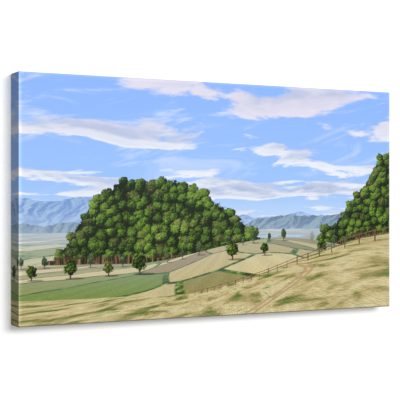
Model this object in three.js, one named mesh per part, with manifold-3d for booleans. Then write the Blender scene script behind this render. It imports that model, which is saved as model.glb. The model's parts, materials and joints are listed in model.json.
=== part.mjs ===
// A picture printed on canvas, stretched over a wooden frame and wrapped round its edges, which hangs on
// one nail. Millimetres, +Z up. The face looks along -Y and the wall is the plane Y = 0. The origin is where
// the nail carries the saw-tooth hanger, at the middle of the picture's width.
//
// The pieces are made in the picture's own plane (x across, y up, z from the wall towards the viewer, with
// the middle of the face at x = y = 0), and the group at the end of the file stands the picture upright.
import * as THREE from "three";
import { mergeVertices } from "three/addons/utils/BufferGeometryUtils.js";
import Module from "manifold-3d";

const wasm = await Module();
wasm.setup();

// The picture as it is measured from outside
const FACE_WIDTH = 686;
const FACE_HEIGHT = 381;
const DEPTH = 38;
const NAIL_BELOW_TOP = 14;

// Room between pieces that touch, and how far a cutter runs past what it cuts
const GAP = 0.3;
const PAST = 1;

// The canvas, its folds round the frame and what is turned over at the back
const CLOTH = 0.5;
const FOLD_RADIUS = 2;
const TURNOVER = 17;

// The stretcher bars: a raised bead carries the canvas at its edge, and the face falls away behind it
const BAR_WIDTH = 20;
const BEAD_WIDTH = 4.5;
const BEAD_RADIUS = 1.6;
const BEAD_DROP = 2.4;
const FACE_SLOPE = 3.6;
const BACK_CHAMFER = 1.2;
const INNER_CHAMFER = 2;
const MITRE_GAP = 0.15;

// The wooden keys that tighten the corners, two in each
const KEY_LENGTH = 33.5;
const KEY_WIDTH = 16;
const KEY_THICK = 4;
const KEY_SUNK = 7;
const KEY_POINT = 5.5;
const KEY_TIP = 1;
const KEY_FROM_BACK = 12;

// The pads that keep the foot of the picture off the wall
const PAD_RADIUS = 6;
const PAD_TAPER = 0.8;
const PAD_SHOULDER = 1.7;
const PAD_THICK = 2.9;
const PAD_INSET = 10;

// The saw-tooth hanger: a bent strip with a tab at each end and a raised middle with teeth
const HANGER_LENGTH = 62;
const HANGER_HEIGHT = 8;
const HANGER_THICK = 0.8;
const HANGER_TAB = 10;
const HANGER_RAMP = 2.4;
const HANGER_RISE = 2;
const TOOTH_PITCH = 3.2;
const TOOTH_DEPTH = 1.6;
const TOOTH_COUNT = 11;

// The tacks that hold the hanger
const TACK_HEAD_RADIUS = 2.2;
const TACK_HEAD_THICK = 0.7;
const TACK_CROWN_RADIUS = 1.5;
const TACK_CROWN_THICK = 0.35;
const TACK_SHANK_RADIUS = 0.7;
const TACK_LENGTH = 11;
const TACK_POINT = 2;

// How finely round shapes are cut into flats
const FOLD_STEPS = 4;
const TACK_SIDES = 16;
const PAD_SIDES = 24;

// What follows from those sizes
const BACK = PAD_THICK + GAP;
const FRONT = BACK + DEPTH;
const BAR_INSET = CLOTH + GAP;
const BAR_BACK = BACK + BAR_INSET;
const BAR_DEPTH = DEPTH - 2 * BAR_INSET;
const NAIL_HEIGHT = FACE_HEIGHT / 2 - NAIL_BELOW_TOP;
const TACK_X = (HANGER_LENGTH - HANGER_TAB) / 2;
const TACK_XS = [-TACK_X, TACK_X];
const TACK_Y = NAIL_HEIGHT + (HANGER_HEIGHT - TOOTH_DEPTH) / 2;
const PIN_HOLE_RADIUS = TACK_SHANK_RADIUS + GAP;

const canvasMaterial = new THREE.MeshStandardMaterial({ color: 0x93aebf, roughness: 0.85 });
const pineMaterial = new THREE.MeshStandardMaterial({ color: 0xd8b98a, roughness: 0.7 });
const keyMaterial = new THREE.MeshStandardMaterial({ color: 0xc9a26f, roughness: 0.65 });
const steelMaterial = new THREE.MeshStandardMaterial({ color: 0xb9bcc0, roughness: 0.35, metalness: 1 });
const padMaterial = new THREE.MeshStandardMaterial({ color: 0xe6e3dc, roughness: 0.5 });

// Solids for joining and cutting

function solid(geometry) {
  const bare = geometry.index ? geometry.toNonIndexed() : geometry.clone();
  bare.deleteAttribute("normal");
  bare.deleteAttribute("uv");
  const merged = mergeVertices(bare, 1e-4);
  return new wasm.Manifold(
    new wasm.Mesh({
      numProp: 3,
      vertProperties: merged.attributes.position.array,
      triVerts: new Uint32Array(merged.index.array),
    }),
  );
}

function geometryOf(manifold) {
  const { vertProperties, triVerts } = manifold.getMesh();
  const geometry = new THREE.BufferGeometry();
  geometry.setAttribute("position", new THREE.BufferAttribute(vertProperties, 3));
  geometry.setIndex(new THREE.BufferAttribute(triVerts, 1));
  geometry.computeVertexNormals();
  return geometry;
}

function cut(geometry, ...cutters) {
  return geometryOf(cutters.reduce((rest, cutter) => rest.subtract(solid(cutter)), solid(geometry)));
}

// A block between two corners
function block(low, high) {
  const size = high.map((value, axis) => value - low[axis]);
  const middle = high.map((value, axis) => (value + low[axis]) / 2);
  return new THREE.BoxGeometry(...size).translate(...middle);
}

// A rod along z
function rod(radius, x, y, from, to) {
  return new THREE.CylinderGeometry(radius, radius, to - from, TACK_SIDES)
    .rotateX(Math.PI / 2)
    .translate(x, y, (from + to) / 2);
}

function polygon(points) {
  return new THREE.Shape(points.map(([x, y]) => new THREE.Vector2(x, y)));
}

// The canvas

// A slab with all its edges rounded, from z = 0 to its depth. The rounding stops a little short of the full
// quarter circle, so that the faces keep small round corners and don't shrink to a point there.
function softSlab(width, height, depth, radius) {
  const rounding = radius * 0.98;
  const halfWidth = width / 2;
  const halfHeight = height / 2;
  const outline = new THREE.Shape();
  outline.moveTo(-halfWidth + radius, -halfHeight);
  outline.lineTo(halfWidth - radius, -halfHeight);
  outline.absarc(halfWidth - radius, -halfHeight + radius, radius, -Math.PI / 2, 0);
  outline.lineTo(halfWidth, halfHeight - radius);
  outline.absarc(halfWidth - radius, halfHeight - radius, radius, 0, Math.PI / 2);
  outline.lineTo(-halfWidth + radius, halfHeight);
  outline.absarc(-halfWidth + radius, halfHeight - radius, radius, Math.PI / 2, Math.PI);
  outline.lineTo(-halfWidth, -halfHeight + radius);
  outline.absarc(-halfWidth + radius, -halfHeight + radius, radius, Math.PI, Math.PI * 1.5);
  return new THREE.ExtrudeGeometry(outline, {
    depth: depth - 2 * radius,
    bevelThickness: radius,
    bevelSize: rounding,
    bevelOffset: -rounding,
    bevelSegments: FOLD_STEPS,
    curveSegments: FOLD_STEPS,
  }).translate(0, 0, radius);
}

function canvasGeometry() {
  const inside = softSlab(
    FACE_WIDTH - 2 * CLOTH,
    FACE_HEIGHT - 2 * CLOTH,
    DEPTH - 2 * CLOTH,
    FOLD_RADIUS - CLOTH,
  ).translate(0, 0, BACK + CLOTH);
  const halfWindow = [FACE_WIDTH / 2 - TURNOVER, FACE_HEIGHT / 2 - TURNOVER];
  const window = block(
    [-halfWindow[0], -halfWindow[1], BACK - PAST],
    [halfWindow[0], halfWindow[1], BACK + CLOTH + PAST],
  );
  const tackHoles = TACK_XS.map((x) => rod(PIN_HOLE_RADIUS, x, TACK_Y, BACK - PAST, BACK + CLOTH + PAST));
  const outside = softSlab(FACE_WIDTH, FACE_HEIGHT, DEPTH, FOLD_RADIUS).translate(0, 0, BACK);
  return cut(outside, inside, window, ...tackHoles);
}

// The stretcher bars and their keys

// The bar's section: x from its outer face inwards, y from its back to its front
function barSection() {
  const section = new THREE.Shape();
  section.moveTo(BACK_CHAMFER, 0);
  section.lineTo(BAR_WIDTH - BACK_CHAMFER, 0);
  section.lineTo(BAR_WIDTH, BACK_CHAMFER);
  section.lineTo(BAR_WIDTH, BAR_DEPTH - BEAD_DROP - FACE_SLOPE - INNER_CHAMFER);
  section.lineTo(BAR_WIDTH - INNER_CHAMFER, BAR_DEPTH - BEAD_DROP - FACE_SLOPE);
  section.lineTo(BEAD_WIDTH + BEAD_RADIUS, BAR_DEPTH - BEAD_DROP);
  section.lineTo(BEAD_WIDTH, BAR_DEPTH - BEAD_RADIUS);
  section.absarc(BEAD_WIDTH - BEAD_RADIUS, BAR_DEPTH - BEAD_RADIUS, BEAD_RADIUS, 0, Math.PI / 2);
  section.lineTo(BEAD_RADIUS, BAR_DEPTH);
  section.absarc(BEAD_RADIUS, BAR_DEPTH - BEAD_RADIUS, BEAD_RADIUS, Math.PI / 2, Math.PI);
  section.lineTo(0, BACK_CHAMFER);
  return section;
}

// The lower bar, along x, with its outer face at y = -reach. Each end is cut to the mitre, slotted for a key,
// and eased at its outer corner to fit inside the folded canvas.
function barGeometry(length, reach, pinHoles) {
  // A short length of the section, whose two ends are then moved out to the mitres
  const geometry = new THREE.ExtrudeGeometry(barSection(), {
    depth: 2,
    bevelEnabled: false,
    curveSegments: FOLD_STEPS,
  }).translate(0, 0, -1);
  const position = geometry.getAttribute("position");
  for (let i = 0; i < position.count; i++) {
    const inwards = position.getX(i);
    const forwards = position.getY(i);
    const end = Math.sign(position.getZ(i));
    const along = end * (length / 2 - inwards - MITRE_GAP * Math.SQRT2);
    position.setXYZ(i, along, inwards - reach, forwards + BAR_BACK);
  }
  const innerCorner = length / 2 - BAR_WIDTH;
  const slots = [-1, 1].map((end) => {
    const [from, to] = [innerCorner - (KEY_LENGTH - KEY_POINT) - GAP, length / 2].map((v) => v * end);
    return block(
      [Math.min(from, to), BAR_WIDTH - KEY_SUNK - GAP - reach, BAR_BACK + KEY_FROM_BACK - GAP],
      [Math.max(from, to), BAR_WIDTH + GAP - reach, BAR_BACK + KEY_FROM_BACK + KEY_THICK + GAP],
    );
  });
  const room = softSlab(length + GAP, 2 * reach + GAP, BAR_DEPTH + GAP, FOLD_RADIUS);
  room.translate(0, 0, BAR_BACK - GAP / 2);
  const eased = geometryOf(solid(geometry).intersect(solid(room)));
  return cut(eased, ...slots, ...pinHoles);
}

// A key for one end of the lower bar: its long edge lies in the slot and its broad end stands out of it
function keyGeometry(length, reach, end) {
  const innerCorner = length / 2 - BAR_WIDTH;
  const slotFloor = BAR_WIDTH - KEY_SUNK - reach;
  const tip = end * (innerCorner + KEY_POINT);
  const butt = end * (innerCorner + KEY_POINT - KEY_LENGTH);
  return new THREE.ExtrudeGeometry(
    polygon([
      [tip, slotFloor],
      [butt, slotFloor],
      [butt, slotFloor + KEY_WIDTH],
      [tip, slotFloor + KEY_TIP],
    ]),
    { depth: KEY_THICK, bevelEnabled: false },
  ).translate(0, 0, BAR_BACK + KEY_FROM_BACK);
}

// The hanger, its tacks and the pads

function hangerGeometry() {
  const half = HANGER_LENGTH / 2;
  const tab = half - HANGER_TAB;
  const raised = tab - HANGER_RAMP;
  const rise = HANGER_RISE;
  const thick = HANGER_THICK;
  // The strip seen from above: x along it, y towards the wall
  const strip = polygon([
    [-half, 0],
    [-tab, 0],
    [-raised, rise],
    [raised, rise],
    [tab, 0],
    [half, 0],
    [half, thick],
    [tab + thick / 2, thick],
    [raised + thick / 2, rise + thick],
    [-raised - thick / 2, rise + thick],
    [-tab - thick / 2, thick],
    [-half, thick],
  ]);
  const bent = new THREE.ExtrudeGeometry(strip, { depth: HANGER_HEIGHT, bevelEnabled: false })
    .rotateX(-Math.PI / 2)
    .translate(0, NAIL_HEIGHT - TOOTH_DEPTH, BACK - GAP);
  const notches = [...Array(TOOTH_COUNT).keys()].map((i) => {
    const x = (i - (TOOTH_COUNT - 1) / 2) * TOOTH_PITCH;
    const notch = polygon([
      [x, NAIL_HEIGHT],
      [x - TOOTH_PITCH / 2, NAIL_HEIGHT - TOOTH_DEPTH - GAP],
      [x + TOOTH_PITCH / 2, NAIL_HEIGHT - TOOTH_DEPTH - GAP],
    ]);
    const depth = BACK + PAST;
    return new THREE.ExtrudeGeometry(notch, { depth, bevelEnabled: false }).translate(0, 0, -PAST);
  });
  const tackHoles = TACK_XS.map((x) => rod(PIN_HOLE_RADIUS, x, TACK_Y, -PAST, BACK));
  return cut(bent, ...notches, ...tackHoles);
}

// A tack with its head on the hanger's tab and its point in the top bar
function tackGeometry() {
  const head = BACK - GAP - HANGER_THICK - GAP - TACK_HEAD_THICK;
  const profile = [
    [0, head],
    [TACK_CROWN_RADIUS, head],
    [TACK_HEAD_RADIUS, head + TACK_CROWN_THICK],
    [TACK_HEAD_RADIUS, head + TACK_HEAD_THICK],
    [TACK_SHANK_RADIUS, head + TACK_HEAD_THICK],
    [TACK_SHANK_RADIUS, head + TACK_LENGTH - TACK_POINT],
    [0, head + TACK_LENGTH],
  ].map(([radius, z]) => new THREE.Vector2(radius, z));
  return new THREE.LatheGeometry(profile, TACK_SIDES).rotateX(Math.PI / 2);
}

function padGeometry() {
  const profile = [
    [0, 0],
    [PAD_RADIUS - PAD_TAPER, 0],
    [PAD_RADIUS, PAD_SHOULDER],
    [PAD_RADIUS, PAD_THICK],
    [0, PAD_THICK],
  ].map(([radius, z]) => new THREE.Vector2(radius, z));
  return new THREE.LatheGeometry(profile, PAD_SIDES).rotateX(Math.PI / 2);
}

// The whole picture

const picture = new THREE.Group();

function add(name, geometry, material, place = {}) {
  const mesh = new THREE.Mesh(geometry, material);
  mesh.name = name;
  mesh.position.set(place.x ?? 0, place.y ?? 0, place.z ?? 0);
  mesh.rotation.z = place.turn ?? 0;
  picture.add(mesh);
}

add("canvas", canvasGeometry(), canvasMaterial);

// Each bar is the lower one turned about the middle of the face, with its two keys
const SIDES = ["bottom", "right", "top", "left"];
SIDES.forEach((side, quarter) => {
  const upright = quarter % 2 === 1;
  const [along, across] = upright ? [FACE_HEIGHT, FACE_WIDTH] : [FACE_WIDTH, FACE_HEIGHT];
  const length = along - 2 * BAR_INSET;
  const reach = across / 2 - BAR_INSET;
  const turn = (quarter * Math.PI) / 2;
  const pinHoles =
    side === "top"
      ? TACK_XS.map((x) => rod(PIN_HOLE_RADIUS, x, -TACK_Y, BAR_BACK - PAST, BACK + TACK_LENGTH))
      : [];
  add(`bar_${side}`, barGeometry(length, reach, pinHoles), pineMaterial, { turn });
  add(`key_${side}_first`, keyGeometry(length, reach, -1), keyMaterial, { turn });
  add(`key_${side}_second`, keyGeometry(length, reach, 1), keyMaterial, { turn });
});

add("hanger", hangerGeometry(), steelMaterial);
for (const [side, way] of [
  ["left", -1],
  ["right", 1],
]) {
  add(`tack_${side}`, tackGeometry(), steelMaterial, { x: way * TACK_X, y: TACK_Y });
  add(`pad_${side}`, padGeometry(), padMaterial, {
    x: way * (FACE_WIDTH / 2 - PAD_INSET),
    y: PAD_INSET - FACE_HEIGHT / 2,
  });
}

picture.rotation.x = Math.PI / 2;
picture.position.z = -NAIL_HEIGHT;

const print = new THREE.Group();
print.add(picture);

export default print;
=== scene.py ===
# A landscape printed on canvas and stretched over a pine frame, hung on a white wall.
# Metres, +Z up. The face looks along -Y, and the wall is the plane Y = 0.
import json
import math
from functools import partial

import bmesh
import bpy
import numpy as np
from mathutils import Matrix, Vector, noise

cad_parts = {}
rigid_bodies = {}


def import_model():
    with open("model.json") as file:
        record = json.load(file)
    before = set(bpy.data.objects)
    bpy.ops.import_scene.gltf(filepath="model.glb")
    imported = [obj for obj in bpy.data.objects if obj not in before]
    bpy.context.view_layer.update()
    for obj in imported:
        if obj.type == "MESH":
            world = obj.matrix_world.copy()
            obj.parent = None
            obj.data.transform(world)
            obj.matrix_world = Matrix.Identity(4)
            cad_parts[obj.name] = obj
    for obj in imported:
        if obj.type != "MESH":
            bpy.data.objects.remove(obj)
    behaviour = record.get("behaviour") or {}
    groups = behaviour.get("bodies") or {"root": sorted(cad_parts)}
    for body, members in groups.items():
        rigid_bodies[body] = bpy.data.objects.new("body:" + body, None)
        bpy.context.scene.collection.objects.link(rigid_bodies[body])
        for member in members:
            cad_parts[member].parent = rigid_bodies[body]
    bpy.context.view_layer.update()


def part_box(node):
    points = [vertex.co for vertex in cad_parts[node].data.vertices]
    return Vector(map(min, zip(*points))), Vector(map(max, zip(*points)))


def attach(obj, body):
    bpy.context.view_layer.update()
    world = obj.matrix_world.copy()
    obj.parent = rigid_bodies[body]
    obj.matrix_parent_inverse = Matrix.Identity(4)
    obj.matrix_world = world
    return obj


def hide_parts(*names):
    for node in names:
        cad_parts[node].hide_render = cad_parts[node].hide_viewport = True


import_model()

MM = 0.001

# What the frame gives
cloth_low, cloth_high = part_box("canvas")
WIDTH = cloth_high.x - cloth_low.x
HEIGHT = cloth_high.z - cloth_low.z
DEPTH = cloth_high.y - cloth_low.y
FRONT = cloth_low.y
BACK = cloth_high.y
MIDDLE = (cloth_low.z + cloth_high.z) / 2


# Meshes and objects

def new_mesh(name, points, faces):
    mesh = bpy.data.meshes.new(name)
    mesh.from_pydata([tuple(place) for place in points], [], faces)
    return mesh


def new_object(name, data):
    thing = bpy.data.objects.new(name, data)
    bpy.context.scene.collection.objects.link(thing)
    return thing


def shade_smooth(mesh):
    mesh.polygons.foreach_set("use_smooth", [True] * len(mesh.polygons))


# The camera stands where the photograph was taken from: left of the picture, level with the middle of its
# face, and turned to the right
PHOTO_WIDTH_PX = 400
FOCAL_PX = 1075.2
SENSOR_MM = 36
CAMERA_BEFORE_FACE = (-2.2148 * HEIGHT, -4.0455 * HEIGHT, -0.0027 * HEIGHT)
CAMERA_YAW = -0.4814

camera_data = bpy.data.cameras.new("camera")
camera_data.sensor_width = SENSOR_MM
camera_data.lens = SENSOR_MM * FOCAL_PX / PHOTO_WIDTH_PX
camera = new_object("camera", camera_data)
camera.location = Vector((0, FRONT, MIDDLE)) + Vector(CAMERA_BEFORE_FACE)
camera.rotation_euler = (math.pi / 2, 0, CAMERA_YAW)
bpy.context.scene.camera = camera


# Painting: a material's pattern is written as arithmetic on marks, and each step adds one node

class Mark:
    """A number or a colour that varies over a surface: one node's output, with plain arithmetic."""

    def __init__(self, socket):
        self.socket = socket
        self.tree = socket.id_data


def feed(socket, value):
    """Gives a socket a mark, a colour or a number."""
    if isinstance(value, Mark):
        value.tree.links.new(value.socket, socket)
    elif isinstance(value, tuple) and len(socket.default_value) > len(value):
        socket.default_value = (*value, 1)
    else:
        socket.default_value = value


def fill(node, settings):
    for name, value in settings.items():
        feed(node.inputs[name], value)


def step(kind, inputs, out=0, tree=None, **settings):
    """Adds a node with its inputs filled, by name or number, and gives one of its outputs."""
    if tree is None:
        tree = next(value.tree for value in inputs.values() if isinstance(value, Mark))
    node = tree.nodes.new(kind)
    for name, value in settings.items():
        setattr(node, name, value)
    fill(node, inputs)
    return Mark(node.outputs[out])


def all_outputs(mark):
    return [Mark(out) for out in mark.socket.node.outputs]


def figure(operation, *values):
    """One step of arithmetic, on marks and plain numbers."""
    return step("ShaderNodeMath", dict(enumerate(values)), operation=operation)


def arithmetic(operation, swapped):
    def run(mark, other):
        return figure(operation, other, mark) if swapped else figure(operation, mark, other)
    return run


# Marks and numbers are added, subtracted, multiplied and divided as numbers are
for sign, operation in (("add", "ADD"), ("sub", "SUBTRACT"), ("mul", "MULTIPLY"), ("truediv", "DIVIDE")):
    setattr(Mark, f"__{sign}__", arithmetic(operation, swapped=False))
    setattr(Mark, f"__r{sign}__", arithmetic(operation, swapped=True))

sine = partial(figure, "SINE")
size_of = partial(figure, "ABSOLUTE")
sign_of = partial(figure, "SIGN")
whole = partial(figure, "FLOOR")
part_of = partial(figure, "FRACT")
root = partial(figure, "SQRT")
power_of_e = partial(figure, "EXPONENT")
larger = partial(figure, "MAXIMUM")
smaller = partial(figure, "MINIMUM")


def natural_log(value):
    return figure("LOGARITHM", value, math.e)


def held(value):
    """The value, kept between 0 and 1."""
    return smaller(larger(value, 0.0), 1.0)


def ramp(value, low, high, to_low=0.0, to_high=1.0, kind="SMOOTHSTEP"):
    """Runs from to_low to to_high as the value goes from low to high, and stays level outside them."""
    inputs = dict(enumerate((value, low, high, to_low, to_high)))
    return step("ShaderNodeMapRange", inputs, interpolation_type=kind)


line = partial(ramp, kind="LINEAR")


def between(start, end, share):
    """From start to end as share goes from 0 to 1."""
    return line(share, 0, 1, start, end)


def point(x, y, z=0.0):
    return step("ShaderNodeCombineXYZ", {"X": x, "Y": y, "Z": z})


def parts(place):
    return all_outputs(step("ShaderNodeSeparateXYZ", {0: place}))


def clouded(place, scale, detail, rough, bend=0.0, space="2D"):
    """Smooth random variation from 0 to 1, about 0.5, in grains of 1 / scale."""
    entry = "W" if space == "1D" else "Vector"
    inputs = {entry: place, "Scale": scale, "Detail": detail, "Roughness": rough, "Distortion": bend}
    return step("ShaderNodeTexNoise", inputs, noise_dimensions=space)


def wandering(along, scale, detail, rough=0.5):
    """Random variation along a line, from 0 to 1."""
    return clouded(along, scale, detail, rough, space="1D")


def uneven(along, scale, detail, height, rough=0.5):
    """Random variation along a line, up and down by half of height."""
    return (wandering(along, scale, detail, rough) - 0.5) * height


def cells(place, scale, jitter, feature="F1", space="2D"):
    """Random cells: the distance from each one's middle, its own colour and its middle's place."""
    inputs = {"Vector": place, "Scale": scale, "Randomness": jitter}
    distance = step("ShaderNodeTexVoronoi", inputs, voronoi_dimensions=space, feature=feature)
    return all_outputs(distance)[:3]


def chance(number):
    """A random number from 0 to 1 for each value of a number."""
    return step("ShaderNodeTexWhiteNoise", {"W": number}, "Value", noise_dimensions="1D")


# The Mix node has a socket of each name for each kind of data, so its colour sockets go by their numbers
MIX_SHARE, MIX_FIRST, MIX_SECOND = 0, 6, 7
MIX_RESULT = 2


def blend(share, first, second, kind="MIX"):
    """The first colour, giving way to the second as share goes from 0 to 1."""
    inputs = {MIX_SHARE: share, MIX_FIRST: first, MIX_SECOND: second}
    return step("ShaderNodeMix", inputs, MIX_RESULT, data_type="RGBA", blend_type=kind)


def lit(colour, strength):
    """A colour made darker or brighter by a number that varies."""
    return step("ShaderNodeVectorMath", {0: colour, "Scale": strength}, operation="SCALE")


def lit_once(colour, strength):
    return tuple(value * strength for value in colour)


def shades(value, *stops):
    """A colour for each value: stops are (value, colour), in order."""
    shade = step("ShaderNodeValToRGB", {0: value})
    places = shade.socket.node.color_ramp.elements
    while len(places) < len(stops):
        places.new(1.0)
    for place, (position, colour) in zip(places, stops):
        place.position = position
        place.color = (*colour, 1)
    return shade


def rgb(red, green, blue):
    """A colour given as a screen shows it, from 0 to 255, as the light it stands for."""
    def light(level):
        share = level / 255
        return share / 12.92 if share <= 0.04045 else ((share + 0.055) / 1.055) ** 2.4
    return (light(red), light(green), light(blue))


def new_material(name):
    material = bpy.data.materials.new(name)
    material.use_nodes = True
    return material, material.node_tree.nodes["Principled BSDF"]


def own_place(shader):
    """Where each point lies in the frame that all pieces share."""
    return step("ShaderNodeTexCoord", {}, "Object", shader.id_data)


def relief(shader, height, depth, strength=1.0):
    bump = step("ShaderNodeBump", {"Strength": strength, "Distance": depth, "Height": height})
    feed(shader.inputs["Normal"], bump)


# The printed landscape. x runs across it from its middle and y up from its foot, both in face heights.

HORIZON = 0.335
SUN_SIDE = (-0.75, 0.66)

SKY_HIGH = rgb(140, 180, 248)
SKY_MIDDLE = rgb(156, 194, 248)
SKY_LOW = rgb(186, 212, 242)
SKY_FOOT = rgb(206, 222, 242)
AIR = rgb(196, 214, 238)
CLOUD_LIGHT = rgb(236, 239, 246)
CLOUD_HIGH = rgb(226, 220, 232)
CLOUD_SHADE = rgb(168, 182, 214)
FAR_BLUE = rgb(104, 142, 200)
FAR_BLUE_LIT = rgb(158, 188, 226)
NEAR_BLUE = rgb(66, 98, 132)
NEAR_BLUE_LIT = rgb(132, 156, 168)
VALLEY_HAZE = rgb(186, 206, 232)
LEAF_LIGHT = rgb(146, 172, 64)
LEAF_MIDDLE = rgb(82, 118, 36)
LEAF_DARK = rgb(30, 44, 14)
STRAW_LIGHT = rgb(220, 206, 158)
STRAW = rgb(190, 174, 120)
OLIVE = rgb(136, 134, 78)
GRASS_GREEN = rgb(118, 140, 62)
EARTH_LIGHT = rgb(178, 146, 108)
EARTH = rgb(118, 86, 58)
EARTH_DARK = rgb(64, 44, 30)
BARK_PALE = rgb(150, 128, 102)
RAIL_PALE = rgb(170, 150, 124)
WATER = rgb(150, 184, 224)


def sunward(across, up):
    return across * SUN_SIDE[0] + up * SUN_SIDE[1]


def covered(scene, depth, colour, softness=0.001):
    """The scene, with a colour over it wherever depth is above 0."""
    return blend(ramp(depth, -softness, softness), scene, colour)


def painted_sky(x, y):
    height = y - HORIZON
    sky = shades(line(height, 0, 0.66), (0.0, SKY_LOW), (0.35, SKY_MIDDLE), (1.0, SKY_HIGH))
    # High thin streaks, slanting
    streaks = clouded(point(x * 1.1 + y * 0.9, y * 5.5 - x * 1.1), 1.6, 7, 0.62, bend=0.6)
    wisps = ramp(streaks, 0.5, 0.78) * ramp(height, 0.18, 0.5, 0.15, 0.75)
    sky = blend(wisps, sky, CLOUD_LIGHT)
    # Heaped clouds, flatter and smaller towards the horizon, and shaded where more cloud lies above
    far = 0.9 / (height + 0.28)
    place = point(x * far + 3.1, far * -3.1 + 1.7)
    above = point(x * far + 3.05, far * -3.1 + 1.54)
    lean = clouded(place, 0.9, 2, 0.5)
    heap = clouded(place, 1.55, 12, 0.57, bend=0.25)
    heap_above = clouded(above, 1.55, 6, 0.57, bend=0.25)
    cover = heap + (lean - 0.5) * 0.55 + ramp(height, 0.05, 0.6, 0.05, -0.05)
    shade = ramp(heap - heap_above, -0.14, 0.14) * 0.75 + ramp(cover, 0.5, 0.75, 0.35, 0.0)
    cloud = blend(ramp(height, 0.3, 0.62), CLOUD_LIGHT, CLOUD_HIGH)
    cloud = blend(held(1 - shade), cloud, CLOUD_SHADE)
    sky = blend(ramp(cover, 0.5, 0.58) * 0.94, sky, cloud)
    return blend(ramp(height, 0.0, 0.2, 0.6, 0.0), sky, SKY_FOOT)


def mountains(scene, x, y, crest, spurs, slopes, dark, light, haze, foot):
    """A range whose crest line is given, with spurs that run down from it."""
    below = crest - y
    across = x * spurs + below * slopes * 0.35
    down = below * slopes
    form = clouded(point(across, down), 1.0, 9, 0.6, bend=0.4)
    beside = clouded(point(across + 0.12, down + 0.05), 1.0, 6, 0.6, bend=0.4)
    rock = blend(ramp(form - beside, -0.09, 0.09), dark, light)
    rock = blend(ramp(y, foot, foot + 0.14, haze, 0.12), rock, VALLEY_HAZE)
    return covered(scene, below, rock, 0.0012)


# A crown is this much wider than high
CROWN_SQUAT = 1.15


def leaves(x, y, size, seed):
    """Crowns of leaves, crowded together: their colour, each point's distance from its crown's middle, that
    middle, and a random number for each crown."""
    across = x / size
    up = y / size
    ragged = clouded(point(across, up), 2.6, 7, 0.72)
    frayed = clouded(point(across + 9, up), 2.6, 7, 0.72)
    leaf_x = across + (ragged - 0.5) * 0.8 + seed
    leaf_y = up * CROWN_SQUAT + (frayed - 0.5) * 0.7
    far, tint, middle = cells(point(leaf_x, leaf_y), 1.0, 0.95)
    crown_x, crown_y, _ = parts(middle)
    _, _, clump_middle = cells(point(leaf_x, leaf_y), 3.1, 1.0)
    clump_x, clump_y, _ = parts(clump_middle)
    flecks = clouded(point(leaf_x, leaf_y * 1.6), 7, 5, 0.8)
    stand = clouded(point(leaf_x, leaf_y * 1.4), 0.3, 3, 0.55)
    light = 0.36 + sunward(leaf_x - crown_x, leaf_y - crown_y) * 0.7
    light = light + sunward(leaf_x - clump_x, leaf_y - clump_y)
    light = light + (flecks - 0.5) * 2.2 + (stand - 0.5) * 1.3 - ramp(far, 0.3, 0.75) * 0.4
    colour = shades(
        light, (0.0, lit_once(LEAF_DARK, 0.6)), (0.22, LEAF_DARK), (0.5, LEAF_MIDDLE), (0.95, LEAF_LIGHT),
    )
    dryness, luck, _ = parts(tint)
    dry_leaf = lit(OLIVE, ramp(light, 0, 1, 0.12, 1.35))
    colour = blend(ramp(dryness, 0.6, 1.0, 0.0, 0.5), colour, dry_leaf)
    return lit(colour, between(0.75, 1.12, luck)), far, crown_x, crown_y, luck


def wooded_slope(scene, x, y, crest_at, foot, size, seed, haze):
    """Woods that cover everything below a crest line. crest_at gives that line for a crown's own middle."""
    colour, far, crown_x, crown_y, girth = leaves(x, y, size, seed)
    stands = crest_at((crown_x - seed) * size) - crown_y * (size / CROWN_SQUAT)
    crest = crest_at(x)
    reach = between(0.5, 0.74, girth)
    ragged = clouded(point(x / size, y / size), 1.6, 8, 0.75)
    below = crest - y + (ragged - 0.5) * size * 2.2
    crowns = ramp(stands, 0.0, 0.00002) * ramp(far - reach, 0.03, -0.03)
    cover = larger(crowns, ramp(below, size * 0.35, size * 0.42))
    # Trunks and dark undergrowth show below the last crowns
    open_foot = ramp(y - foot + (ragged - 0.5) * size * 2.4, size * 0.9, size * 0.4)
    stems = clouded(point(x / size * 3.2, y / size * 0.22), 1.3, 3, 0.6, bend=0.3)
    gloom = lit_once(LEAF_DARK, 0.7)
    bark = shades(stems, (0.42, gloom), (0.5, EARTH_DARK), (0.58, EARTH), (0.7, BARK_PALE))
    colour = blend(open_foot * ramp(ragged, 0.7, 0.5), colour, bark)
    return blend(cover, scene, blend(ramp(y, foot, crest, haze * 0.3, haze), colour, AIR))


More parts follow.
